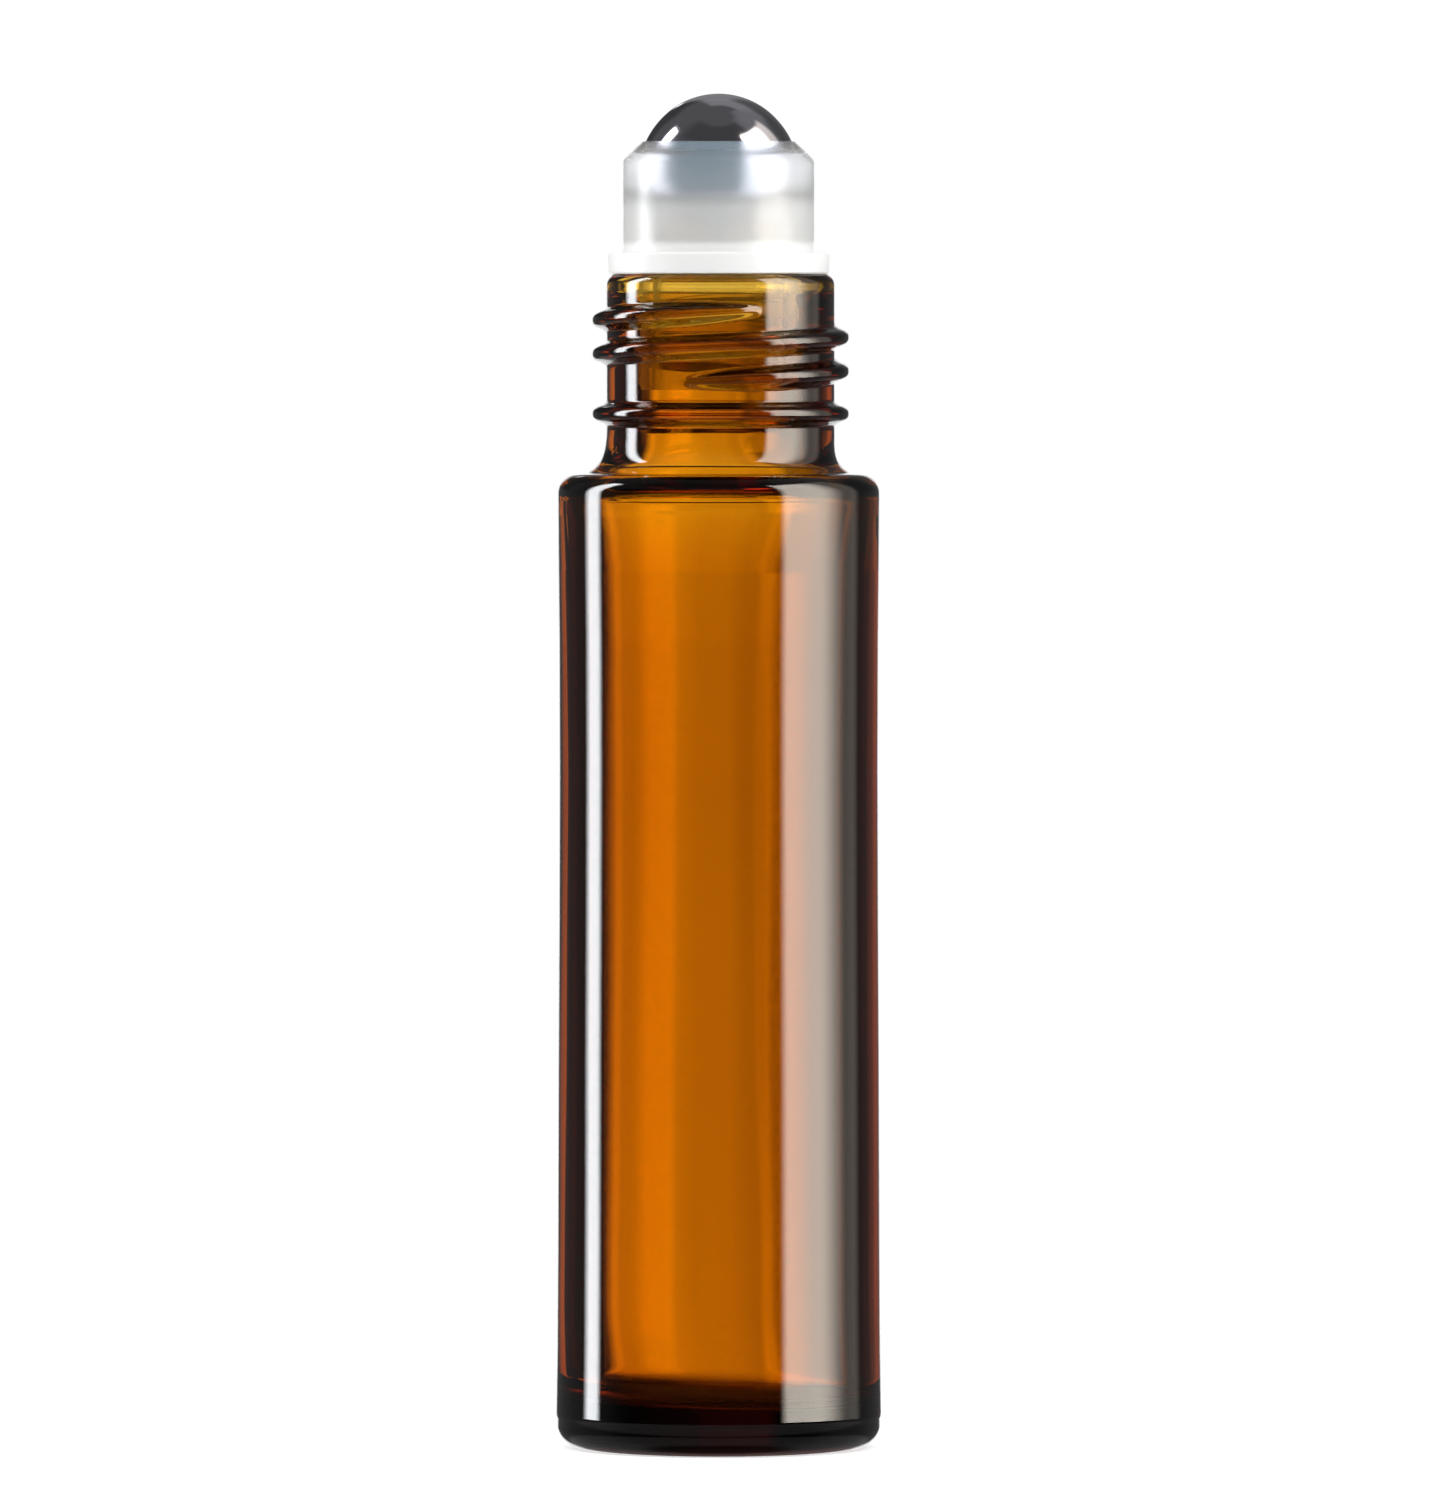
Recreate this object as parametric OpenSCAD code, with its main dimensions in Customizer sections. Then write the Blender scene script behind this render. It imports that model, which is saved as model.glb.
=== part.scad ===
/* [Glass body] */
// Outside diameter of the glass body
body_d = 20.3; // [18:0.1:24]
// Height of the glass from its foot to its rim
glass_h = 73; // [60:1:90]
// Thickness of the body wall
body_wall = 2; // [1.4:0.1:2.2]
// Height of the glass floor above the foot
floor_z = 3.5; // [2.5:0.1:6]
// Height of the mould line, where the base plate met the body mould
base_seam_z = 1.6; // [1.3:0.1:2.4]
// How far the wall steps in below the mould line
base_step = 0.06; // [0.02:0.01:0.2]
// Radius of the heel, where the wall turns under the base
heel_r = 1; // [0.6:0.1:1.2]
// Width of the flat ring that the bottle stands on
foot_w = 1.4; // [0.8:0.1:2.5]
// Depth of the dish under the base, at the axis
dish_depth = 0.6; // [0.2:0.1:1.2]
// Radius of the corner inside, between the floor and the wall
floor_corner_r = 1.6; // [0.8:0.1:3]
// Radius of the shoulder's outer edge
shoulder_r = 1.3; // [0.6:0.1:1.6]
// Thickness of the glass at the shoulder
shoulder_wall = 1.6; // [1:0.1:2.4]
// Radius of the corner inside, under the shoulder
ceiling_corner_r = 1.2; // [0.5:0.1:1.6]

/* [Neck] */
// Height of the neck from the shoulder to the rim
neck_h = 12.7; // [11.5:0.1:16]
// Outside diameter of the neck between its threads
neck_d = 14.2; // [13.6:0.1:14.8]
// Diameter of the neck bore
bore_d = 10.6; // [9.8:0.1:11]
// Radius of the rim's outer edge
rim_r = 0.7; // [0.4:0.1:1.1]
// Radius of the rim's inner edge
mouth_r = 0.35; // [0.2:0.05:0.5]
// Radius inside, where the cavity runs into the bore
throat_r = 1.2; // [0.6:0.1:1.6]
// How far the foot of the neck flares out
flare_w = 0.45; // [0.2:0.05:0.6]
// Height over which the foot of the neck flares
flare_h = 1.7; // [1:0.1:2.2]
// Radius of the fillet between the flare and the shoulder
root_r = 0.7; // [0.4:0.1:0.9]

/* [Thread and bead] */
// Outside diameter over the thread
thread_d = 16; // [15.4:0.1:16.6]
// Rise of the thread in one turn
thread_pitch = 2.1; // [1.9:0.05:2.4]
// Number of turns
thread_turns = 2.11; // [1:0.01:2.5]
// Width of the thread at the neck wall
thread_w = 1.36; // [1:0.02:1.6]
// Drop from the rim to where the thread starts
thread_drop = 2.25; // [2:0.05:2.6]
// Direction of the thread's start, from the front towards the right
thread_start_angle = 16; // [-180:1:180]
// Angle over which each end of the thread fades into the neck
thread_fade_angle = 22; // [10:1:45]
// How far the thread's root is sunk into the neck wall
thread_sink = 0.35; // [0.2:0.05:0.5]
// Outside diameter over the transfer bead
bead_d = 16; // [15.4:0.1:16.6]
// Width of the transfer bead at the neck wall
bead_w = 1.3; // [1:0.1:1.6]
// Drop from the rim to the middle of the transfer bead
bead_drop = 8.7; // [8.4:0.1:9.5]

/* [Roller housing] */
// How far the flange's edge stands in from the neck's wall
flange_inset = 0.175; // [0:0.025:0.5]
// Thickness of the flange
flange_t = 1.3; // [0.8:0.1:2]
// How much the flange's lower edge is drawn in
flange_draft = 0.06; // [0:0.01:0.2]
// Thickness of the cup's wall beside the ball
cup_wall = 0.85; // [0.6:0.05:1]
// Height of the cup above the flange
housing_h = 6.9; // [6:0.1:8]
// Width of the flat on top of the lip
lip_land = 0.1; // [0.05:0.05:0.4]
// Radius where the cup's wall turns into the lip's cone
cone_turn_r = 0.4; // [0.2:0.1:1]
// Depth of the plug in the bore
plug_len = 7.2; // [6:0.1:9]
// How far the plug's wall stands clear of the bore, on each side
plug_relief = 0.35; // [0.2:0.05:0.5]
// Thickness of the plug's wall
plug_wall = 0.85; // [0.6:0.05:1.2]
// Height of the lead-in at the plug's tip
plug_tip = 0.45; // [0.2:0.05:0.8]
// Number of sealing ribs round the plug
rib_count = 3; // [1:1:4]
// Spacing of the sealing ribs
rib_pitch = 1.75; // [1.2:0.05:2]
// Width of a sealing rib
rib_w = 0.8; // [0.4:0.1:1]
// Drop from the rim to the first sealing rib
rib_drop = 1.6; // [1:0.1:2]

/* [Ball and its seat] */
// Diameter of the steel ball
ball_d = 10; // [9.2:0.1:10.4]
// How far the ball stands out of the lip
ball_proud = 3; // [2.6:0.1:3.4]
// Diameter of the feed hole under the ball
feed_d = 6; // [4.5:0.1:7]
// Thickness of the plastic under the edge of the feed hole
seat_t = 1.4; // [0.8:0.1:1.8]
// Number of feed grooves in the seat
groove_count = 6; // [3:1:8]
// Width of a feed groove
groove_w = 0.9; // [0.5:0.1:1.2]
// How far a feed groove reaches out from the feed hole
groove_reach = 1.3; // [0.6:0.1:1.5]
// Depth of a feed groove below the edge of the feed hole
groove_depth = 0.5; // [0.2:0.1:0.7]

/* [Clearances] */
// Gap between the ball and its socket
ball_gap = 0.08; // [0.04:0.01:0.12]
// Gap between the sealing ribs and the bore, on each side
rib_gap = 0.03; // [0.01:0.01:0.08]

/* [Hidden] */
$fn = 120;

amber = [0.62, 0.30, 0.03];
natural_plastic = [0.90, 0.93, 0.94];
polished_steel = [0.62, 0.62, 0.64];

// Straight steps in a quarter turn of an outline
quarter_steps = 10;
// Straight steps over the crest of a rib, a bead or the thread
crest_steps = 8;
// Rings of the thread in one turn
thread_rings = 36;

body_r = body_d / 2;
cavity_r = body_r - body_wall;
shoulder_z = glass_h - neck_h;
ceiling_z = shoulder_z - shoulder_wall;
foot_out_r = body_r - base_step - heel_r;
foot_in_r = foot_out_r - foot_w;
dish_r = (foot_in_r * foot_in_r + dish_depth * dish_depth) / (2 * dish_depth);

neck_r = neck_d / 2;
bore_r = bore_d / 2;
neck_foot_r = neck_r + flare_w;
bead_z = glass_h - bead_drop;
bead_depth = bead_d / 2 - neck_r;

thread_depth = thread_d / 2 - neck_r;
thread_z = glass_h - thread_drop;
thread_ring_count = round(thread_turns * thread_rings);

flange_r = neck_r - flange_inset;
flange_z = glass_h + flange_t;
housing_z = flange_z + housing_h;
plug_r = bore_r - plug_relief;
plug_in_r = plug_r - plug_wall;
plug_z = glass_h - plug_len;
rib_depth = plug_relief - rib_gap;

ball_r = ball_d / 2;
ball_z = housing_z + ball_proud - ball_r;
socket_r = ball_r + ball_gap;
housing_r = socket_r + cup_wall;
feed_r = feed_d / 2;
seat_z = ball_z - sqrt(socket_r * socket_r - feed_r * feed_r);
seat_under_z = seat_z - seat_t;
lip_in_r = sqrt(socket_r * socket_r - (housing_z - ball_z) * (housing_z - ball_z));
lip_r = lip_in_r + lip_land;

// Points of an arc round centre c, from angle a0 to angle a1
function arc(c, r, a0, a1) =
    let (n = max(2, ceil(abs(a1 - a0) / 90 * quarter_steps)))
    [for (i = [0 : n]) let (a = a0 + (a1 - a0) * i / n) c + r * [cos(a), sin(a)]];

// Points of a round ridge of width w that stands depth out of a wall at radius r, going up
function ridge(r, z, w, depth) =
    [for (i = [0 : crest_steps]) let (a = 180 * i / crest_steps)
        [r + depth * sin(a), z - w / 2 * cos(a)]];

// Half section of the glass: up the outside, over the rim and down the inside
function glass_outline() = concat(
    arc([0, dish_depth - dish_r], dish_r, 90, 90 - asin(foot_in_r / dish_r)),
    arc([foot_out_r, heel_r], heel_r, -90, 0),
    [[body_r - base_step, base_seam_z], [body_r, base_seam_z]],
    arc([body_r - shoulder_r, shoulder_z - shoulder_r], shoulder_r, 0, 90),
    arc([neck_foot_r + root_r, shoulder_z + root_r], root_r, 270, 180),
    [[neck_r, shoulder_z + root_r + flare_h]],
    ridge(neck_r, bead_z, bead_w, bead_depth),
    arc([neck_r - rim_r, glass_h - rim_r], rim_r, 0, 90),
    arc([bore_r + mouth_r, glass_h - mouth_r], mouth_r, 90, 180),
    arc([bore_r + throat_r, ceiling_z + throat_r], throat_r, 180, 270),
    arc([cavity_r - ceiling_corner_r, ceiling_z - ceiling_corner_r], ceiling_corner_r, 90, 0),
    arc([cavity_r - floor_corner_r, floor_z + floor_corner_r], floor_corner_r, 0, -90),
    [[0, floor_z]]
);

// How much of the thread's depth is there, at a given ring: none at both ends, all between
function thread_share(i) =
    let (a = min(i, thread_ring_count - i) * 360 / thread_rings)
    a >= thread_fade_angle ? 1 : sin(90 * a / thread_fade_angle);

// One ring of points round the thread's section, with its root sunk in the neck wall
function thread_ring(i) =
    let (
        turn = i / thread_rings,
        heading = thread_start_angle - 90 - 360 * turn,
        z = thread_z - thread_pitch * turn,
        rise = (thread_depth + thread_sink) * thread_share(i) + thread_sink / 2 * (1 - thread_share(i))
    )
    [for (p = ridge(neck_r - thread_sink, z, thread_w, rise))
        [p[0] * cos(heading), p[0] * sin(heading), p[1]]];

// A tube through rings of points, closed at both ends
module skin(rings) {
    count = len(rings);
    around = len(rings[0]);
    points = [for (ring = rings) for (p = ring) p];
    sides = [for (i = [0 : count - 2]) for (j = [0 : around - 1])
        let (k = (j + 1) % around, here = i * around, next = here + around)
        each [[here + j, next + k, here + k], [here + j, next + j, next + k]]];
    first_end = [for (j = [0 : around - 1]) j];
    last_end = [for (j = [around - 1 : -1 : 0]) (count - 1) * around + j];
    polyhedron(points, concat(sides, [first_end], [last_end]));
}

// Half section of the plastic housing: up the outside of the plug, flange and wall, over the lip, down the socket
function housing_outline() =
    let (
        turn_x = housing_r - cone_turn_r,
        turn_rise = cone_turn_r * sin(45),
        cone_run = turn_x + cone_turn_r * cos(45) - lip_r,
        lip_angle = asin((housing_z - ball_z) / socket_r),
        seat_angle = -acos(feed_r / socket_r)
    )
    concat(
        [[plug_in_r, plug_z], [plug_r - plug_tip / 2, plug_z], [plug_r, plug_z + plug_tip]],
        [for (i = [rib_count - 1 : -1 : 0])
            each ridge(plug_r, glass_h - rib_drop - rib_pitch * i, rib_w, rib_depth)],
        [[plug_r, glass_h], [flange_r - flange_draft, glass_h], [flange_r, flange_z], [housing_r, flange_z]],
        arc([turn_x, housing_z - cone_run - turn_rise], cone_turn_r, 0, 45),
        [[lip_r, housing_z]],
        arc([0, ball_z], socket_r, lip_angle, seat_angle),
        [[feed_r, seat_under_z], [plug_in_r, seat_under_z - (plug_in_r - feed_r)]]
    );

// Blown amber glass bottle with a screw neck
module glass_bottle() {
    color(amber) union() {
        rotate_extrude() polygon(glass_outline());
        skin([for (i = [0 : thread_ring_count]) thread_ring(i)]);
    }
}

// Moulded plastic housing that snaps round the ball and plugs the neck
module roller_housing() {
    color(natural_plastic) difference() {
        rotate_extrude() polygon(housing_outline());
        for (i = [0 : groove_count - 1])
            rotate(360 / groove_count * (i + 1 / 2))
                translate([0, -groove_w / 2, seat_z - groove_depth])
                    cube([feed_r + groove_reach, groove_w, ball_z - seat_z]);
    }
}

// Polished steel ball
module roller_ball() {
    color(polished_steel) translate([0, 0, ball_z]) sphere(ball_r);
}

glass_bottle();
roller_housing();
roller_ball();
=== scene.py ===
import math

import bmesh
import bpy
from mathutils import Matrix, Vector, noise


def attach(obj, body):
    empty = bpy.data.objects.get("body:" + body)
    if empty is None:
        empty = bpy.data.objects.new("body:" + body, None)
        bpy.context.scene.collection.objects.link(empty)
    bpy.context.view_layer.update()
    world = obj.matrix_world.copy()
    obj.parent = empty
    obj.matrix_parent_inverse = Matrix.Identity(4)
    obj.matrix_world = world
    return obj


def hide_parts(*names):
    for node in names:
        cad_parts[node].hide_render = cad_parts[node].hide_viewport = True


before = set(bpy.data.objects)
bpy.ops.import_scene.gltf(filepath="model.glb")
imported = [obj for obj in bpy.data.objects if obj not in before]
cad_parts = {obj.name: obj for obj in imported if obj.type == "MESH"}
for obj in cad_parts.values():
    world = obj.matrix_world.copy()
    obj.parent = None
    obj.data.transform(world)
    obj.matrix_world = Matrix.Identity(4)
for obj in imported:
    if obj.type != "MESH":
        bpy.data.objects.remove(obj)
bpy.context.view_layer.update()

# Camera: a long lens a metre away, level with the bottle's rim and aimed a
# little below the middle of the bottle.
MM = 0.001
EYE = Vector((-0.20, -1000.0, 73.0)) * MM
AIM = Vector((-0.20, 0.0, 43.4)) * MM
FIELD = 93.25 * MM  # height of what the picture takes in, at the bottle
SENSOR = 36.0  # width of the film, in the camera's own millimetres
NEAREST = 0.05
FARTHEST = 100.0
lens = bpy.data.cameras.new("camera")
lens.sensor_width = SENSOR
lens.lens = SENSOR * (EYE - AIM).length / FIELD
lens.clip_start = NEAREST
lens.clip_end = FARTHEST
camera = bpy.data.objects.new("camera", lens)
camera.location = EYE
camera.rotation_mode = "QUATERNION"
camera.rotation_quaternion = (AIM - EYE).to_track_quat("-Z", "Y")
bpy.context.scene.collection.objects.link(camera)
bpy.context.scene.camera = camera
bpy.context.scene.view_settings.view_transform = "Standard"


# Studio surround: white paper behind the bottle with the dark room on both
# sides of it, and a softbox on the left and on the right. Glass and metal
# show these, and the camera itself sees plain white.
class Shade:
    """A number that a shader works out. Sums and products of such numbers are Math nodes."""

    def __init__(self, socket):
        self.socket = socket

    def worked(self, operation, *values):
        """Adds a Math node to the tree that this number is in."""
        node = self.socket.id_data.nodes.new("ShaderNodeMath")
        node.operation = operation
        for socket, value in zip(node.inputs, values):
            fill(socket, value)
        return Shade(node.outputs[0])

    def __add__(self, other):
        return self.worked("ADD", self, other)

    def __radd__(self, other):
        return self.worked("ADD", other, self)

    def __sub__(self, other):
        return self.worked("SUBTRACT", self, other)

    def __rsub__(self, other):
        return self.worked("SUBTRACT", other, self)

    def __mul__(self, other):
        return self.worked("MULTIPLY", self, other)

    def __truediv__(self, other):
        return self.worked("DIVIDE", self, other)

    def __neg__(self):
        return self.worked("MULTIPLY", self, -1.0)

    def root(self):
        return self.worked("SQRT", self)

    def larger(self, other):
        return self.worked("MAXIMUM", self, other)

    def angle_from(self, other):
        return self.worked("ARCTAN2", self, other)


def fill(socket, value):
    """Links a socket to what a shader works out, or sets it to a plain value."""
    if isinstance(value, Shade):
        value = value.socket
    if isinstance(value, bpy.types.NodeSocket):
        socket.id_data.links.new(value, socket)
    else:
        socket.default_value = value


def fresh_nodes(owner):
    """Empties the nodes of a material or world, and returns a function that adds nodes to it."""
    owner.use_nodes = True
    owner.node_tree.nodes.clear()

    def add(kind, **sockets):
        """Adds a node and fills its sockets, which are named with _ for a space."""
        node = owner.node_tree.nodes.new(kind)
        for name, value in sockets.items():
            fill(node.inputs[name.replace("_", " ")], value)
        return node

    return add


def ramp(value, low, high, start=0.0, end=1.0, shape="SMOOTHSTEP"):
    """Goes from start to end while value goes from low to high, and is level before and after."""
    node = value.socket.id_data.nodes.new("ShaderNodeMapRange")
    node.interpolation_type = shape
    limits = {"Value": value, "From Min": low, "From Max": high, "To Min": start, "To Max": end}
    for name, limit in limits.items():
        fill(node.inputs[name], limit)
    return Shade(node.outputs["Result"])


def edge(value, middle, half):
    """Goes from 0 to 1 over a soft edge, half of which lies on each side of its middle."""
    return ramp(value, middle - half, middle + half)


def window(value, low, high):
    """1 between two soft edges and 0 outside them. Each edge is its middle and its half width."""
    return edge(value, *low) * (1.0 - edge(value, *high))


studio = bpy.data.worlds.new("studio")
bpy.context.scene.world = studio
add = fresh_nodes(studio)
way = add("ShaderNodeSeparateXYZ", Vector=add("ShaderNodeTexCoord").outputs["Generated"])
x, y, z = (Shade(output) for output in way.outputs)
NEVER_ZERO = 1e-6
level_reach = (x * x + (y * y + NEVER_ZERO)).root()
east = x / level_reach
north = y / level_reach
rise = z / level_reach
turn = y.angle_from(x)


def beyond(side, blur):
    """1 for what lies past an angle in degrees, counted from due right by way of the back."""
    return edge(turn, math.radians(side), math.radians(blur))


def between(right, left):
    """1 for what lies between two angles in degrees, each given with half its blur."""
    return beyond(*right) * (1.0 - beyond(*left))


def slope(right, left, start, end):
    """Goes evenly from start to end between two angles in degrees."""
    return ramp(turn, math.radians(right), math.radians(left), start, end, "LINEAR")


def panel(right, left, foot, top, glow):
    """A soft-edged panel: two angles, and two heights as rise over distance, each with half its blur."""
    return between(right, left) * window(rise, foot, top) * glow


# The white sheet behind the bottle is as wide as the glass needs, and its right side fades in three stages.
# Here and below, an edge is its middle and half its blur, in degrees or as rise over distance. A slope is
# where it starts, where it ends, and the value at each.
SHEET_LEFT = (103.7, 2.2)
SHEET_RIGHT = (((85.2, 0.6), 0.60), ((80.5, 3.5), 0.14), ((72.0, 8.0), 0.26))  # edge, share of the light
SHEET_FOOT = (-0.40, 0.08)
SHEET_SLOPES = ((87.4, 88.4, 1.19, 1.35), (90.2, 92.0, 0.0, 0.29), (95.5, 98.0, 0.0, -0.15))
SHEET_STRIPES = (((86.05, 0.25), (86.65, 0.25), 0.2), ((99.9, 0.7), (102.0, 0.7), 0.42))  # two edges, glow
SHEET_LEVEL = (-0.07, -0.01, 1.1, 0.9)
SHEET_HORIZON = (-0.014, -0.008, 1.0, 1.2)
SHEET_TOP = (0.2, 0.9, 1.0, 0.3)
sheet_sides = (1.0 - beyond(*SHEET_LEFT)) * sum(beyond(*side) * share for side, share in SHEET_RIGHT)
sheet_glow = sum(slope(*stretch) for stretch in SHEET_SLOPES)
sheet_glow += sum(between(right, left) * glow for right, left, glow in SHEET_STRIPES)
sheet_rise = edge(rise, *SHEET_FOOT) * ramp(rise, *SHEET_LEVEL, "LINEAR")
sheet_rise *= ramp(rise, *SHEET_TOP) * ramp(rise, *SHEET_HORIZON)
sheet_north = sheet_sides * sheet_glow * sheet_rise

# The other views have sheets of their own, which the camera of the photo doesn't see
OWN_SHEET = (math.cos(math.radians(14.5)), 0.006)  # 14.5 degrees to each side of its middle
OWN_SLANTED_SHEET = (math.cos(math.radians(15.5)), 0.006)
OWN_FOOT = (-0.205, 0.004)
LOW_FOOT = (-0.9, 0.05)
LOW_TOP = (-0.375, 0.01)
OWN_FADE = (0.12, 0.5, 1.0, 0.25)
OWN_GLOW = 1.45
SOUTH_SHARE = 0.4
above_foot = edge(rise, *OWN_FOOT)
slant = (north - east) * math.sqrt(0.5)
west = edge(-east, *OWN_SHEET) * above_foot
south = edge(-north, *OWN_SHEET) * above_foot * SOUTH_SHARE
north_west = edge(slant, *OWN_SLANTED_SHEET) * window(rise, LOW_FOOT, LOW_TOP)
south_east = edge(-slant, *OWN_SLANTED_SHEET) * window(rise, LOW_FOOT, OWN_FOOT)
others = (west + south + north_west + south_east) * ramp(rise, *OWN_FADE) * OWN_GLOW

# The right softbox is widest and falls off towards the back; the left one is a narrow strip
BOX_FOOT = (-0.15, 0.03)
RIGHT_TOP = (1.27, 0.14)
RIGHT_SIDE = (-42.6, 3.8)
RIGHT_FALLS = (((-0.8, 14.8), 7.85), ((27.0, 5.0), 0.75))  # edge, glow in front of it
LEFT_BOX = ((161.0, 4.2), (174.9, 3.0), BOX_FOOT, (1.0, 0.06))
LEFT_SLOPE = (163.0, 172.0, 13.2, 14.5)
RIGHT_INSIDE = ((-50.0, 5.0), (-15.0, 10.0))
RIGHT_INSIDE_GLOW = 10.5
ROOM_INSIDE = 0.03
right_glow = sum((1.0 - beyond(*side)) * glow for side, glow in RIGHT_FALLS)
right_height = window(rise, BOX_FOOT, RIGHT_TOP)
right_box = beyond(*RIGHT_SIDE) * right_glow * right_height
left_box = panel(*LEFT_BOX, slope(*LEFT_SLOPE))
right_inside = between(*RIGHT_INSIDE) * right_height * above_foot * RIGHT_INSIDE_GLOW
through = sheet_north + others + right_inside + ROOM_INSIDE

# Mirrored: the same studio with a pale ceiling panel at the back, a dim room in front and the table below.
# A panel is its right and left edge, its foot, its top and its glow.
ROOM = 0.115
FRONT = (0.15, 0.35)
FRONT_DIM = -0.10
FRONT_TOP = (0.55, 0.2)
FRONT_BAND = ((0.9, 0.2), (3.0, 0.5))
FRONT_BAND_DIM = -0.045
DIM_LEFT = ((104, 3), (132, 8), (0.1, 0.05), (0.9, 0.2), -0.06)
DIM_RIGHT = ((38, 6), (62, 6), (0.1, 0.05), (0.8, 0.2), -0.03)
TABLE_LEVEL = (-0.36, 0.06)
TABLE_GLOW = 0.17
UNDER_BOTTLE = (-2.5, -1.2, 0.2, 1.0)
CRESCENT_TOP = ((52, 8), (104, 4), (1.05, 0.2), (2.1, 0.3), 0.16)
CRESCENT_TIP = ((80, 5), (102, 4), (0.3, 0.12), (1.1, 0.2), 0.16)
HALO = ((-22, 12), (52, 6), (0.85, 0.2), (3.3, 1.2), 0.1)
SPOT = ((100.8, 0.8), (103.2, 0.8), (0.33, 0.02), (0.40, 0.02), 2.5)
BACK_SHEET = ((76, 3), (104.5, 2), (-0.4, 0.05), (0.22, 0.06), 1.2)
front = edge(-north, *FRONT)
room = front * (1.0 - edge(rise, *FRONT_TOP)) * FRONT_DIM + ROOM
room += front * window(rise, *FRONT_BAND) * FRONT_BAND_DIM + panel(*DIM_LEFT) + panel(*DIM_RIGHT)
room += (1.0 - edge(rise, *TABLE_LEVEL)) * TABLE_GLOW
room *= ramp(rise, *UNDER_BOTTLE)
panels = sum(panel(*place) for place in (CRESCENT_TOP, CRESCENT_TIP, HALO, SPOT, BACK_SHEET))
mirrored = room + panels + right_box + left_box

# Seen through the cloudy plastic: a white tent, open, dim and a little blue on the camera's side
TENT_FRONT = (0.05, 0.25)
TENT_GLOW = 1.5
TENT_OPENING = (0.3, 0.9, 0.47, 0.02)
TENT_BLUE = (0.25, 1.1, 0.10, 0.01)
TENT_RIGHT = ((-53, 8), (8, 16))
TENT_RIGHT_GLOW = 2.4
TENT_LEFT = [[math.radians(angle) for angle in side] for side in ((-27, 9), (12, 14))]
TENT_LEFT_GLOW = 2.0
TENT_FLOOR = (-0.95, 0.25)
TENT_FLOOR_GLOW = 0.75
opening = edge(-north, *TENT_FRONT)
turn_from_left = (-y).angle_from(-x)
tent = (1.0 - opening) * TENT_GLOW + opening * ramp(rise, *TENT_OPENING, "LINEAR")
tent += between(*TENT_RIGHT) * TENT_RIGHT_GLOW + window(turn_from_left, *TENT_LEFT) * TENT_LEFT_GLOW
tent += (1.0 - edge(rise, *TENT_FLOOR)) * TENT_FLOOR_GLOW
tent_blue = opening * ramp(rise, *TENT_BLUE, "LINEAR")

# Each kind of ray sees its own studio. The right softbox is a little warm, and the left one a little cool
ROOM_LIGHT = 0.70
RIGHT_TINGE = (0.08, -0.125)  # how much more red and blue there is than green
LEFT_TINGE = (-0.03, 0.03)
TENT_TINGE = (-1.25, 0.5)
path = {name: Shade(output) for name, output in add("ShaderNodeLightPath").outputs.items()}
seen = path["Is Camera Ray"]
passed = path["Is Transmission Ray"] * (1.0 - seen)
clear = passed * path["Is Singular Ray"]
cloudy = passed * (1.0 - path["Is Singular Ray"])
glossy = path["Is Glossy Ray"] * (1.0 - path["Is Transmission Ray"])
rest = 1.0 - seen.larger(passed).larger(glossy)
light = seen + clear * through + cloudy * tent + glossy * mirrored + rest * ROOM_LIGHT
red, blue = (
    light + glossy * (right_box * right + left_box * left) + cloudy * tent_blue * tinge
    for right, left, tinge in zip(RIGHT_TINGE, LEFT_TINGE, TENT_TINGE)
)
tone = add("ShaderNodeCombineColor", Red=red, Green=light, Blue=blue)
background = add("ShaderNodeBackground", Color=tone.outputs[0], Strength=1.0)
add("ShaderNodeOutputWorld", Surface=background.outputs[0])

# Table: a wide sheet of white card that the bottle stands on. It carries the
# bottle's soft shadow and runs out of sight on every side.
TABLE_HALF = 12.0  # metres from its middle to each side
CARD = (0.86, 0.86, 0.86, 1.0)
CARD_GLOW = 0.56


def finished(name, bm):
    """Makes an object of a shape. It sits at the origin, and its place is in its mesh."""
    mesh = bpy.data.meshes.new(name)
    bm.to_mesh(mesh)
    bm.free()
    piece = bpy.data.objects.new(name, mesh)
    bpy.context.scene.collection.objects.link(piece)
    return piece


card = bmesh.new()
bmesh.ops.create_grid(card, x_segments=1, y_segments=1, size=TABLE_HALF)
table_top = finished("table", card)
table_top.visible_glossy = False
table_top.visible_transmission = False
white_card = bpy.data.materials.new("white_card")
add = fresh_nodes(white_card)
card_face = add("ShaderNodeBsdfDiffuse", Color=CARD)
seen_by_camera = Shade(add("ShaderNodeLightPath").outputs["Is Camera Ray"])
card_glow = add("ShaderNodeEmission", Strength=seen_by_camera * CARD_GLOW)
card_light = add("ShaderNodeAddShader")
fill(card_light.inputs[0], card_face.outputs[0])
fill(card_light.inputs[1], card_glow.outputs[0])
add("ShaderNodeOutputMaterial", Surface=card_light.outputs[0])
table_top.data.materials.append(white_card)

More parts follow.
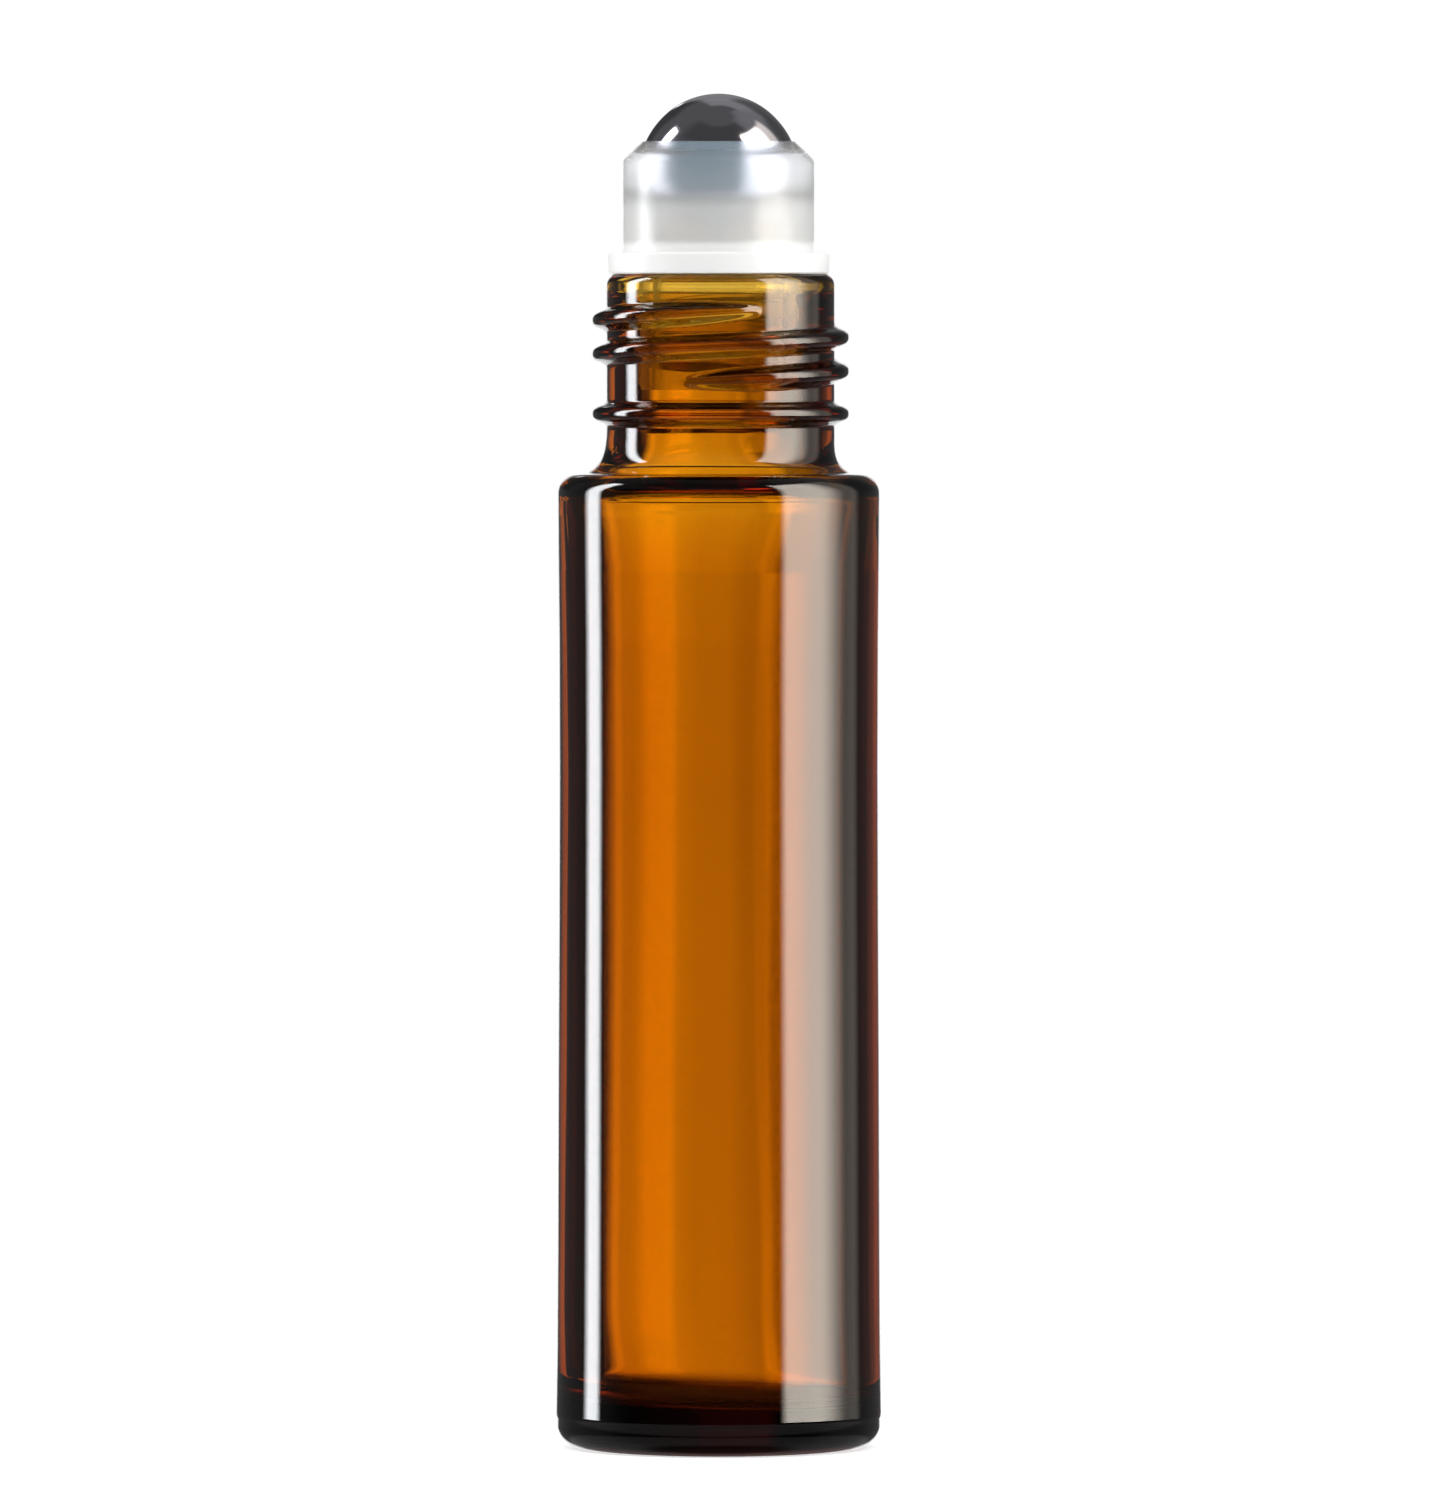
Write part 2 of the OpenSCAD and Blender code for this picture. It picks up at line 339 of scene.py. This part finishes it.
# Lamps: two soft lamps stand where the softboxes are and a third hangs
# overhead. Their mirror images come from the surround, so they only give light.
# Each lamp is its name, its place and width in metres, and its power in watts.
LAMP_AIM = Vector((0.0, 0.0, 0.045))
for name, place, size, power in (
    ("left_lamp", (-0.55, 0.05, 0.30), 0.30, 1.6),
    ("right_lamp", (0.60, -0.25, 0.35), 0.45, 2.2),
    ("top_lamp", (0.0, 0.10, 0.80), 0.50, 2.6),
):
    lamp = bpy.data.lights.new(name, "AREA")
    lamp.shape = "SQUARE"
    lamp.size = size
    lamp.energy = power
    hung = bpy.data.objects.new(name, lamp)
    hung.location = place
    hung.rotation_mode = "QUATERNION"
    hung.rotation_quaternion = (LAMP_AIM - hung.location).to_track_quat("-Z", "Y")
    hung.visible_camera = False
    hung.visible_glossy = False
    hung.visible_transmission = False
    bpy.context.scene.collection.objects.link(hung)

# Glass bottle: amber glass, blown in a two-part mould, with a screw thread
# and a bead on its neck. The wall is one closed skin, so light bends through
# it as through real glass. Sizes are in millimetres.
BODY_R = 10.15
CAVITY_R = 8.15
SHOULDER_Z = 60.55
SHOULDER_IN = 0.12
CEILING_Z = 59.5
NECK_R = 7.1
BORE_R = 5.3
RIM_Z = 73.0
FOOT_R = 7.69
FOOT_ROUNDING = 0.15
SHOULDER_ROUNDING = 1.2
FLARE_ROUNDING = 0.3
RIM_ROUNDING = 0.7
DISH = ((0.0, 0.6), (2.6, 0.53), (5.2, 0.31))  # distance from the axis, height
HEEL_R = 8.55
HEEL_Z = 1.5
HEEL_IN = 0.06  # how far the heel stays inside the body
MOULD_LINE = ((0.05, 1.9), (0.0, 1.98), (0.0, 2.2))  # how far inside the body, height
DRAWN_IN = (  # the same, up the straight wall
    (0.03, 4.0), (0.065, 6.5), (0.1, 12.0), (0.14, 24.0), (0.19, 33.0), (0.22, 42.0), (0.2, 50.0),
    (0.15, 55.5),
)
FLARE_OUT = 1.12  # where the neck's root meets the shoulder
FLARE_UP = 0.06
ROOT_ROWS = 30  # the root sweeps up into the neck, ever more slowly
ROOT_ROW = 0.1
ROOT_FOOT = 60.82
ROOT_MIDDLE = 60.75
ROOT_OUT = 0.95
ROOT_FALL = 0.7
MOUTH = (  # how far outside the bore, height, rounding
    (1.13, RIM_Z, 0.2), (1.1, 71.9, 1.5), (0.8, 70.9, 1.5), (0.42, 69.8, 1.5), (0.12, 68.8, 1.5),
    (0.0, 67.9, 0),
)
THROAT_ROWS = 31  # inside the root, the throat widens downwards in the same way
THROAT_ROW = 0.13
THROAT_TOP = 64.9
THROAT_OUT = 1.25
THROAT_EASE = 8
THROAT_CORNER = (1.9, 0.25, 1.2)  # how far outside the bore, height over the ceiling, rounding
CAVITY_WALL = (  # how far outside the hollow's radius, height, rounding
    (0.35, CEILING_Z, 0.9), (0.27, 58.0, 0.4), (0.13, 56.6, 1.0), (-0.05, 54.6, 1.0), (-0.17, 50.0, 2.0),
    (-0.22, 42.0, 0), (-0.14, 24.0, 0), (-0.06, 7.0, 0),
)
FLOOR_Z = 2.5
FLOOR_BOWL = 0.5
FLOOR_CORNER = 1.45
FLOOR_IN = 0.06
FLOOR_ROWS = 10
QUARTER_ROWS = 12
CORNER_ROWS = 8
GLASS_STEPS = 200
SAME_PLACE = 0.002 * MM


def outline(bm, corners):
    """A line of edges through (radius, height) corners in millimetres, each rounded by its own radius."""
    points = [bm.verts.new((r * MM, 0.0, z * MM)) for r, z, _ in corners]
    for a, b in zip(points, points[1:]):
        bm.edges.new((a, b))
    for r, z, radius in corners:
        if radius:
            round_corner(bm, Vector((r * MM, 0.0, z * MM)), radius)


def round_corner(bm, place, radius):
    """Turns the corner of an outline that lies at place into an arc of the given radius."""
    vertex = min(bm.verts, key=lambda v: (v.co - place).length)
    a, b = [(e.other_vert(vertex).co - vertex.co).normalized() for e in vertex.link_edges]
    reach = radius * MM / math.tan(a.angle(b) / 2)
    bmesh.ops.bevel(
        bm, geom=[vertex], offset=reach, offset_type="OFFSET", segments=CORNER_ROWS, profile=0.5,
        material=-1, affect="VERTICES",
    )


def spun(bm, steps):
    """Turns an outline once round the bottle's axis into a closed skin that faces outwards."""
    bmesh.ops.spin(
        bm, geom=bm.verts[:] + bm.edges[:], cent=(0, 0, 0), axis=(0, 0, 1), dvec=(0, 0, 0), angle=math.tau,
        steps=steps, use_merge=True, use_normal_flip=False, use_duplicate=False,
    )
    bmesh.ops.remove_doubles(bm, verts=bm.verts[:], dist=SAME_PLACE)
    bmesh.ops.recalc_face_normals(bm, faces=bm.faces[:])


def round_axis(vertex):
    """A vertex's distance from the axis and height in millimetres, and its angle round the axis."""
    return math.hypot(vertex.co.x, vertex.co.y) / MM, vertex.co.z / MM, math.atan2(vertex.co.y, vertex.co.x)


def floor_at(r):
    """Height of the bowl-shaped floor inside."""
    return FLOOR_Z + FLOOR_BOWL * (r / CAVITY_R) ** 2


heel = []
for step in range(QUARTER_ROWS):
    a = math.radians(90 * step / QUARTER_ROWS)
    heel.append((HEEL_R + (BODY_R - HEEL_IN - HEEL_R) * math.sin(a), HEEL_Z * (1 - math.cos(a)), 0))
neck_root = []
for step in range(ROOT_ROWS):
    z = ROOT_FOOT + ROOT_ROW * step
    out = ROOT_OUT * math.exp((ROOT_MIDDLE - z) / ROOT_FALL) * (1 - step / (ROOT_ROWS - 1))
    neck_root.append((NECK_R + out, z, 0))
throat = []
for step in range(THROAT_ROWS):
    z = THROAT_TOP - THROAT_ROW * step
    throat.append((BORE_R + THROAT_OUT * math.exp(SHOULDER_Z - z) * min(1.0, step / THROAT_EASE), z, 0))
throat_corner = (BORE_R + THROAT_CORNER[0], CEILING_Z + THROAT_CORNER[1], THROAT_CORNER[2])
floor = []
for step in range(QUARTER_ROWS + 1):
    a = math.radians(90 - 90 * step / QUARTER_ROWS)
    r = CAVITY_R - FLOOR_IN - FLOOR_CORNER * (1 - math.sin(a))
    floor.append((r, floor_at(r) + FLOOR_CORNER * (1 - math.cos(a)), 0))
for step in range(FLOOR_ROWS - 1, -1, -1):
    r = (CAVITY_R - FLOOR_IN - FLOOR_CORNER) * step / FLOOR_ROWS
    floor.append((r, floor_at(r), 0))
glass = bmesh.new()
outline(
    glass,
    [
        *((r, z, 0) for r, z in DISH), (FOOT_R, 0.0, FOOT_ROUNDING), *heel,
        *((BODY_R - inside, z, 0) for inside, z in MOULD_LINE + DRAWN_IN),
        (BODY_R - SHOULDER_IN, SHOULDER_Z, SHOULDER_ROUNDING),
        (NECK_R + FLARE_OUT, SHOULDER_Z + FLARE_UP, FLARE_ROUNDING), *neck_root,
        (NECK_R, RIM_Z, RIM_ROUNDING), *((BORE_R + out, z, radius) for out, z, radius in MOUTH),
        *throat, throat_corner,
        *((CAVITY_R + out, z, radius) for out, z, radius in CAVITY_WALL), *floor,
    ],
)

# The neck gets fine rows for its thread, and the rest of the wall enough rows to waver
THREADED_FROM = 62.0
THREAD_ROW = 0.07
THREAD_LONGEST = 1.0
WALL_ROW = 1.2
WALL_LONGEST = 2.0
OUTER_SKIN = 0.1
for line in glass.edges[:]:
    lower, upper = sorted((v.co / MM for v in line.verts), key=lambda place: place.z)
    length = upper.z - lower.z
    on_neck = min(lower.x, upper.x) > NECK_R - OUTER_SKIN and lower.z > THREADED_FROM
    if on_neck and length > THREAD_LONGEST:
        bmesh.ops.subdivide_edges(glass, edges=[line], cuts=int(length / THREAD_ROW))
    elif length > WALL_LONGEST:
        bmesh.ops.subdivide_edges(glass, edges=[line], cuts=int(length / WALL_ROW))
spun(glass, GLASS_STEPS)

# The thread and the bead stand out from the neck, and the inside wavers
BEAD_Z = 64.3
BEAD_HALF = 0.65
THREAD_TOP = 70.75
THREAD_PITCH = 2.1
THREAD_TURNS = 2.11
THREAD_START = math.radians(-70)  # 20 degrees to the right of the front
THREAD_FADE = math.radians(50)
THREAD_HALF = 0.65
THREAD_TIP_SHARE = 0.4
CREST = 0.9
CREST_FLAT = 3
CREST_STEEP = 0.75
CREST_SOFT = (-0.12, -0.06, 0.0, 0.06, 0.12)  # shifts that a ridge is averaged over
RIDGES_FROM = 61.5  # the thread and the bead lie above this height
PARTING = 0.025
PARTING_NEAR = 1e-3  # how near to the side a row lies that carries the line
PARTING_FROM = 2.6
PARTING_TO = 72.0
INSIDE_R = 8.8
INSIDE_FROM = 4.5
INSIDE_TO = 58.5
INSIDE_EASE = 4.0
INSIDE_WAVE = 0.05
INSIDE_SHIFT = -0.1  # the hollow lies a little to the left
WAVES = ((1.1, 34.0, 0.0, 1.0), (2.3, 13.0, 7.0, 0.35))  # how often round the wall, length, start, share
FLOOR_FROM = 2.3
FLOOR_TOP = 6.0
FLOOR_TILT = 0.03
FLOOR_EASE = 2.0
NECK_FROM = 61.0
NECK_SKIN = 0.9
NECK_SHIFT = 0.12  # to the right
NECK_EASE = 2.0


def waver(heading, z):
    """How the inside wavers, because it was blown and no mould touched it."""
    push = 0.0
    for often, length, start, share in WAVES:
        place = Vector((often * math.cos(heading), often * math.sin(heading), start + z / length))
        push += share * noise.noise(place)
    return push


def crest(gap, half):
    """Height of a rounded ridge at a distance from its middle, from 1 there to 0 at its foot."""
    near = [max(1.0 - (abs(gap + shift) / half) ** CREST_FLAT, 0.0) ** CREST_STEEP for shift in CREST_SOFT]
    return sum(near) / len(near)


def thread(heading, z):
    """Height of the screw thread, from 0 to 1. It falls with every turn and fades out at both ends."""
    ridge = 0.0
    for lap in range(math.ceil(THREAD_TURNS)):
        angle = (THREAD_START - heading) % math.tau + lap * math.tau
        ends = min(angle, THREAD_TURNS * math.tau - angle)
        if ends > 0:
            fade = math.sin(min(ends / THREAD_FADE, 1.0) * math.pi / 2)
            half = THREAD_HALF * (THREAD_TIP_SHARE + (1 - THREAD_TIP_SHARE) * fade)
            ridge = max(ridge, fade * crest(z - (THREAD_TOP - THREAD_PITCH * angle / math.tau), half))
    return ridge


for vertex in glass.verts:
    r, z, heading = round_axis(vertex)
    push = 0.0
    if INSIDE_FROM < z < INSIDE_TO and r < INSIDE_R:
        share = min(1.0, (z - INSIDE_FROM) / INSIDE_EASE, (INSIDE_TO - z) / INSIDE_EASE)
        push = INSIDE_WAVE * share * waver(heading, z)
        vertex.co.x += INSIDE_SHIFT * share * MM
    elif FLOOR_FROM < z <= FLOOR_TOP and r < INSIDE_R:
        vertex.co.z -= FLOOR_TILT * vertex.co.x * min(1.0, (FLOOR_TOP - z) / FLOOR_EASE)
    elif r > NECK_R - OUTER_SKIN and PARTING_FROM < z < PARTING_TO:
        # Where the mould's halves met, a fine line runs up each side
        if abs(math.sin(heading)) < PARTING_NEAR:
            push = PARTING
        if z > RIDGES_FROM:
            push += CREST * max(crest(z - BEAD_Z, BEAD_HALF), thread(heading, z))
    if r > 0:
        vertex.co.x *= 1.0 + push / r
        vertex.co.y *= 1.0 + push / r
    if r > NECK_R - NECK_SKIN and z > NECK_FROM:
        # The mould's neck ring sat a little to one side
        vertex.co.x += NECK_SHIFT * min(1.0, (z - NECK_FROM) / NECK_EASE) * MM
bottle = finished("amber_bottle", glass)
bottle.data.shade_smooth()

# Amber glass swallows blue light first. The floor inside is dull and hardly mirrors, and its colour is
# painted near black as painted shade, so the base stays dark
GLASS_IOR = 1.52
AMBER = (0.875, 0.708, 0.0, 1.0)
AMBER_DENSITY = 2100.0
FLOOR_LOSS = 0.44  # how much less the floor bends and mirrors light
FLOOR_ROUGH = 0.3
CLEAR_SKIN = (1.0, 1.0, 1.0, 1.0)
# painted shade: the floor inside is coloured near black so that the base reads dark
PAINTED_SHADE_SKIN = (0.04, 0.03, 0.03, 1.0)
DULL_SHADED_FROM = (1.6, 1.9, 0.0, 1.0)  # slopes in millimetres, up the bottle and out from its axis
DULL_SHADED_TO = (3.2, 4.3, 1.0, 0.0)
DULL_SHADED_R = (8.2, 8.5, 1.0, 0.0)
GRAIN_SCALE = 110.0
GRAIN_STRENGTH = 0.06
GRAIN_DEPTH = 0.1 * MM


def ramp_mm(value, low, high, start=0.0, end=1.0):
    """A ramp between two places in millimetres."""
    return ramp(value, low * MM, high * MM, start, end)


amber = bpy.data.materials.new("amber_glass")
add = fresh_nodes(amber)
place = add("ShaderNodeTexCoord").outputs["Object"]
across, along, height = (Shade(output) for output in add("ShaderNodeSeparateXYZ", Vector=place).outputs)
off_axis = (across * across + along * along).root()
dull_and_shaded = ramp_mm(height, *DULL_SHADED_FROM) * ramp_mm(height, *DULL_SHADED_TO) * ramp_mm(off_axis, *DULL_SHADED_R)
# On the floor inside, the mask mixes in the painted shade colour, roughens the glass and lowers how much it
# bends light
surface = add("ShaderNodeMix", Factor=dull_and_shaded)
surface.data_type = "RGBA"
clear_colour, painted_shade_colour = surface.inputs[6:8]
fill(clear_colour, CLEAR_SKIN)
fill(painted_shade_colour, PAINTED_SHADE_SKIN)
grain = add("ShaderNodeTexNoise", Vector=place, Scale=GRAIN_SCALE, Detail=1.0)
ripple = add("ShaderNodeBump", Strength=GRAIN_STRENGTH, Distance=GRAIN_DEPTH, Height=grain.outputs[0])
skin = add(
    "ShaderNodeBsdfPrincipled", Base_Color=surface.outputs[2], Roughness=dull_and_shaded * FLOOR_ROUGH,
    IOR=GLASS_IOR - dull_and_shaded * FLOOR_LOSS, Transmission_Weight=1.0, Normal=ripple.outputs[0],
)
depth = add("ShaderNodeVolumeAbsorption", Color=AMBER, Density=AMBER_DENSITY)
add("ShaderNodeOutputMaterial", Surface=skin.outputs[0], Volume=depth.outputs[0])
bottle.data.materials.append(amber)
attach(bottle, "bottle")
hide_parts("glass_bottle")

# Roller housing: one moulding of uncoloured polypropylene: a cup that snaps
# over the ball, a flange on the glass rim, and a ribbed plug in the neck.
BALL_Z = 79.2
SOCKET_R = 5.08
CUP_R = 5.93
LIP_Z = 81.2
LIP_WIDTH = 0.1
FLANGE_Z = 74.3
FLANGE_R = 6.925
FLANGE_GAP = 0.02
FLANGE_TAPER = 0.06
PLUG_R = 4.95
PLUG_IN_R = 4.1
PLUG_Z = 65.8
PLUG_LEAD = (0.22, 0.45)  # the bevel of the plug's tip: how far in, how far up
PLUG_ROUNDING = 0.1
RIBS = 3
RIB_DEPTH = 1.6  # how far the top rib lies under the glass rim
RIB_PITCH = 1.75
RIB_OUT = 0.32
RIB_HALF = 0.4
RIB_SHARES = (-1.0, -0.7, -0.35, 0.0, 0.35, 0.7, 1.0)
FEED_R = 3.0
FEED_LENGTH = 1.4
FEED_FLARE = 0.9
GROOVES = 6
GROOVE_HALF = 0.45
GROOVE_END = 4.3
GROOVE_Z = 74.6
ON_LINE = 0.01  # slack for a point that lies on a limit
ROUNDING = 0.12
CONE_ROUNDING = 0.4
LIP_ROUNDING = 0.04
SEAT_STEPS = 60
PLASTIC_STEPS = 192
SHARP = math.radians(35)
lip_in = math.sqrt(SOCKET_R**2 - (LIP_Z - BALL_Z) ** 2)
lip_out = lip_in + LIP_WIDTH
seat_z = BALL_Z - math.sqrt(SOCKET_R**2 - FEED_R**2)
flange_foot = RIM_Z + FLANGE_GAP
corners = [(PLUG_IN_R, PLUG_Z, 0), (PLUG_R - PLUG_LEAD[0], PLUG_Z, 0), (PLUG_R, PLUG_Z + PLUG_LEAD[1], 0)]
for rib in reversed(range(RIBS)):
    for share in RIB_SHARES:
        out = RIB_OUT * math.sqrt(1 - share**2)
        corners.append((PLUG_R + out, RIM_Z - RIB_DEPTH - RIB_PITCH * rib + RIB_HALF * share, 0))
corners += [
    (PLUG_R, flange_foot, PLUG_ROUNDING), (FLANGE_R - FLANGE_TAPER, flange_foot, ROUNDING),
    (FLANGE_R, FLANGE_Z, ROUNDING), (CUP_R, FLANGE_Z, ROUNDING),
    (CUP_R, LIP_Z - (CUP_R - lip_out), CONE_ROUNDING), (lip_out, LIP_Z, LIP_ROUNDING),
]
seat_low, seat_high = -math.acos(FEED_R / SOCKET_R), math.asin((LIP_Z - BALL_Z) / SOCKET_R)
for step in range(SEAT_STEPS + 1):
    a = seat_high + (seat_low - seat_high) * step / SEAT_STEPS
    corners.append((SOCKET_R * math.cos(a), BALL_Z + SOCKET_R * math.sin(a), 0))
feed_foot = seat_z - FEED_LENGTH
corners += [(FEED_R, feed_foot, 0), (PLUG_IN_R, feed_foot - FEED_FLARE, 0), (PLUG_IN_R, PLUG_Z, 0)]
plastic = bmesh.new()
outline(plastic, corners)
bmesh.ops.remove_doubles(plastic, verts=plastic.verts[:], dist=SAME_PLACE)
spun(plastic, PLASTIC_STEPS)

# Six grooves in the seat feed the liquid past the ball
for vertex in plastic.verts:
    r, z, heading = round_axis(vertex)
    off = heading % (math.tau / GROOVES) - math.pi / GROOVES
    in_seat = FEED_R - ON_LINE < r < GROOVE_END and seat_z - ON_LINE < z < BALL_Z
    if in_seat and abs(math.sin(off)) * r < GROOVE_HALF:
        vertex.co.z = GROOVE_Z * MM
housing = finished("plug_in_housing", plastic)
housing.data.shade_smooth()
housing.data.set_sharp_from_angle(angle=SHARP)

# The thick cup is cloudy, and clearest round the ball. The thin plug is see-through, apart from its edges
PLASTIC_IOR = 1.49
PLUG_TINT = (0.72, 0.75, 0.76)
CUP_TINT = (0.97, 0.975, 0.97)
CLEAR_LOSS = (0.04, 0.03, 0.02)
PLUG_TO_CUP = (72.6, 73.1)
GETS_CLEARER = (75.2, 76.8)
# Slopes by height in millimetres: the light let through grows in three stages
LETS_THROUGH = ((74.6, 75.2, 0.15, 0.55), (76.9, 78.2, 0.0, 0.34), (78.3, 80.6, 0.0, 0.08))
EDGE_SHOWS = (0.35, 0.85, 0.12, 0.9)  # how solid the plug looks as its wall turns edge on
LIP_POLISH = (80.3, 81.2, 0.3, 0.14)  # the lip is smoother than the rest
STREAK_DRAW = (1.0, 1.0, 0.3)  # the moulding's faint streaks run upwards
STREAK_SCALE = 350.0
STREAK_DEPTH = 0.1
STREAK_MEAN = 0.5
FACING_BLEND = 0.5
natural = bpy.data.materials.new("natural_polypropylene")
add = fresh_nodes(natural)
place = add("ShaderNodeTexCoord").outputs["Object"]
height = Shade(add("ShaderNodeSeparateXYZ", Vector=place).outputs["Z"])
drawn = add("ShaderNodeMapping", Vector=place, Scale=STREAK_DRAW)
streaks = add("ShaderNodeTexNoise", Vector=drawn.outputs[0], Scale=STREAK_SCALE, Detail=1.0)
streak = Shade(streaks.outputs[0]) - STREAK_MEAN
clearer = ramp_mm(height, *GETS_CLEARER)
red, green, blue = (
    ramp_mm(height, *PLUG_TO_CUP, plug, cup) - clearer * loss
    for plug, cup, loss in zip(PLUG_TINT, CUP_TINT, CLEAR_LOSS)
)
tint = add("ShaderNodeCombineColor", Red=red, Green=green, Blue=blue)
facing = Shade(add("ShaderNodeLayerWeight", Blend=FACING_BLEND).outputs["Facing"])
moulded = add(
    "ShaderNodeBsdfPrincipled", Base_Color=tint.outputs[0], IOR=PLASTIC_IOR,
    Transmission_Weight=sum(ramp_mm(height, *stretch) for stretch in LETS_THROUGH),
    Alpha=ramp_mm(height, *PLUG_TO_CUP).larger(ramp(facing, *EDGE_SHOWS)),
    Roughness=ramp_mm(height, *LIP_POLISH) + streak * STREAK_DEPTH,
)
add("ShaderNodeOutputMaterial", Surface=moulded.outputs[0])
housing.data.materials.append(natural)
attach(housing, "housing")
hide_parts("roller_housing")

# Roller ball: a stainless steel ball, ground and polished like a bearing
# ball. It sits in the cup with its top above the lip.
BALL_R = 5.0
BALL_ROUND = 160
BALL_ROWS = 96
STEEL = (0.60, 0.59, 0.65, 1.0)
LAPPED_SCALE = 700.0
LAPPED_ROUGH = (0.3, 0.7, 0.05, 0.1)
steel = bmesh.new()
bmesh.ops.create_uvsphere(steel, u_segments=BALL_ROUND, v_segments=BALL_ROWS, radius=BALL_R * MM)
bmesh.ops.translate(steel, verts=steel.verts[:], vec=(0, 0, BALL_Z * MM))
ball = finished("steel_ball", steel)
ball.data.shade_smooth()
polished = bpy.data.materials.new("polished_steel")
add = fresh_nodes(polished)
place = add("ShaderNodeTexCoord").outputs["Object"]
lapped = Shade(add("ShaderNodeTexNoise", Vector=place, Scale=LAPPED_SCALE, Detail=4.0).outputs[0])
metal = add("ShaderNodeBsdfPrincipled", Base_Color=STEEL, Metallic=1.0, Roughness=ramp(lapped, *LAPPED_ROUGH))
add("ShaderNodeOutputMaterial", Surface=metal.outputs[0])
ball.data.materials.append(polished)
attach(ball, "ball")
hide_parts("roller_ball")
